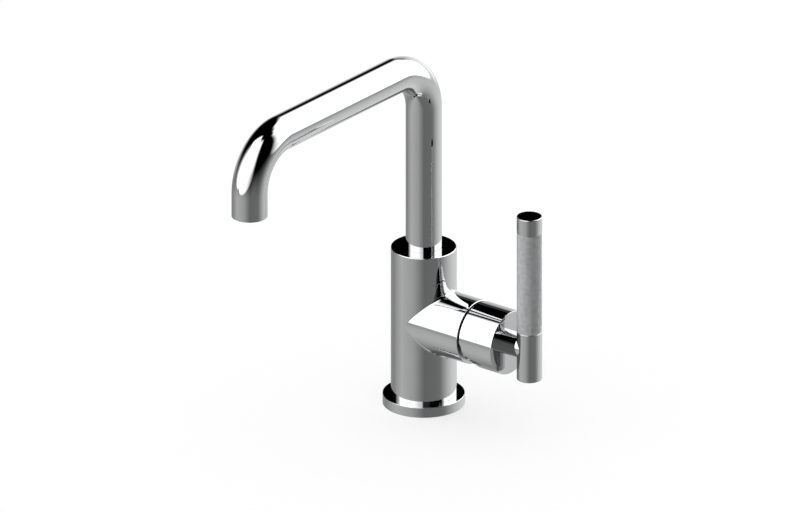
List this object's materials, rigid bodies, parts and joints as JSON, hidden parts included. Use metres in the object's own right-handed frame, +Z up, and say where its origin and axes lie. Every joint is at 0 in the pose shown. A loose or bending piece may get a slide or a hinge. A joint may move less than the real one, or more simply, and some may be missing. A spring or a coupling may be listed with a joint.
{
  "type": "single-lever basin mixer",
  "caption": "Deck-mounted basin mixer: upright round body, swivelling squared-arch tube spout, side valve housing with a tilting, turning cap and an upright knurled rod lever.",
  "frame": {"origin": "centre of the base ring's underside, which stands on the deck, on the axis of the upright", "axes": "+Z up along the upright, -Y along the spout's arm towards the basin, +X along the valve housing's axis towards the lever"},
  "size_m": [0.1142, 0.2065, 0.2351],
  "materials": {
    "chrome_plating": "polished",
    "chrome_knurl": "knurled, plated",
    "stainless_steel": "turned",
    "brass_metal": "machined",
    "cartridge_plastic": "moulded, satin",
    "dark_plastic": "moulded, matte",
    "grey_plastic": "moulded, satin",
    "ceramic_disc": "lapped",
    "seal_rubber": "matte"
  },
  "bodies": {
    "body": {"base_ring": "chrome_plating", "base_gasket": "seal_rubber", "body": "chrome_plating", "swivel_stop_screw": "stainless_steel", "cartridge_base": "cartridge_plastic", "seat_seals": "seal_rubber", "disc_seals": "seal_rubber", "fixed_disc": "ceramic_disc", "cartridge_housing": "cartridge_plastic", "rotor_glide_ring": "dark_plastic", "cartridge_nut": "brass_metal", "dome_cover": "chrome_plating"},
    "spout": {"spout_tube": "chrome_plating", "spout_nipple": "brass_metal", "spout_o_rings": "seal_rubber", "spout_glide_rings": "cartridge_plastic", "outlet_sleeve": "brass_metal", "aerator_housing": "grey_plastic", "aerator_jet_plate": "dark_plastic", "aerator_screen": "stainless_steel", "flow_regulator": "dark_plastic", "aerator_washer": "seal_rubber"},
    "rotor": {"rotor": "cartridge_plastic", "spindle_pin": "stainless_steel"},
    "lever": {"spindle": "stainless_steel", "lever_cap": "chrome_plating", "cap_grub_screw": "stainless_steel", "cap_screw_plug": "chrome_plating", "handle_stub": "chrome_plating", "handle_barrel": "chrome_plating", "barrel_grub_screw": "stainless_steel", "grip_stud": "stainless_steel", "knurled_grip": "chrome_knurl", "grip_end_cap": "chrome_plating"},
    "disc": {"moving_disc": "ceramic_disc", "disc_carrier": "dark_plastic"}
  },
  "joints": [
    {"name": "spout_swivel", "type": "hinge", "parent": "body", "child": "spout", "pos_m": [0, 0, 0.0886], "axis": [0, 0, 1], "range_deg": [-60, 60]},
    {"name": "temperature_turn", "type": "hinge", "parent": "body", "child": "rotor", "pos_m": [0.042, 0, 0.0567], "axis": [1, 0, 0], "range_deg": [-45, 45]},
    {"name": "lever_tilt", "type": "hinge", "parent": "rotor", "child": "lever", "pos_m": [0.042, 0, 0.0567], "axis": [0, 1, 0], "range_deg": [0, 25]},
    {"name": "disc_slide", "type": "slide", "parent": "rotor", "child": "disc", "axis": [0, 0, 1], "range_m": [0, 0.0056]}
  ],
  "couplings": [
    {"joint": "disc_slide", "follows": "lever_tilt", "m_per_rad": 0.012599}
  ]
}
